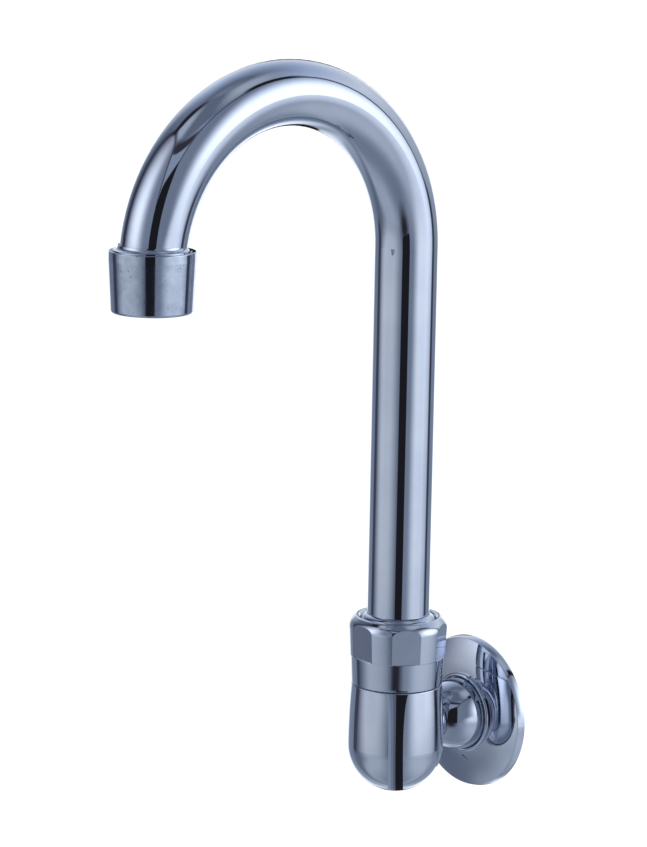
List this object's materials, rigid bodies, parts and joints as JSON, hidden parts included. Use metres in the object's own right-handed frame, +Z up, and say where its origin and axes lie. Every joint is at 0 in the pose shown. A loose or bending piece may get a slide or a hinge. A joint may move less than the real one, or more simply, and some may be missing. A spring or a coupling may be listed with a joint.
{
  "type": "wall faucet",
  "caption": "Wall-mounted commercial faucet with a round flange, elbow body, hexagon nut and a swivelling gooseneck spout that ends in an aerator.",
  "frame": {"origin": "on the axis of the inlet thread, in the plane of the wall", "axes": "+Z up, +Y into the wall along the inlet thread, the spout stands out towards -Y at rest"},
  "size_m": [0.055, 0.1737, 0.2655],
  "materials": {
    "chrome": "mirror polished chrome plating on brass",
    "brass": "turned",
    "rubber": "moulded, matt",
    "plastic": "moulded acetal, satin",
    "steel_mesh": "woven wire"
  },
  "bodies": {
    "elbow": {"body": "chrome", "inlet_nipple": "brass", "nipple_seal": "rubber", "wall_flange": "chrome", "flange_gasket": "rubber", "spout_nut": "chrome", "cover_ring": "chrome", "glide_ring": "plastic", "thrust_washer": "plastic"},
    "spout": {"spout_bush": "brass", "o_ring_upper": "rubber", "o_ring_lower": "rubber", "spout_tube": "chrome", "outlet_sleeve": "chrome", "aerator_shell": "chrome", "aerator_gasket": "rubber", "aerator_housing": "plastic", "inlet_screen": "plastic", "regulator_plate": "plastic", "regulator_ring": "rubber", "jet_plate": "plastic", "mixing_screen": "steel_mesh", "outlet_grid": "plastic"}
  },
  "joints": [
    {"name": "spout_swivel", "type": "hinge", "parent": "elbow", "child": "spout", "pos_m": [0, -0.037, 0.03], "axis": [0, 0, 1], "range_deg": [-100, 100]}
  ]
}
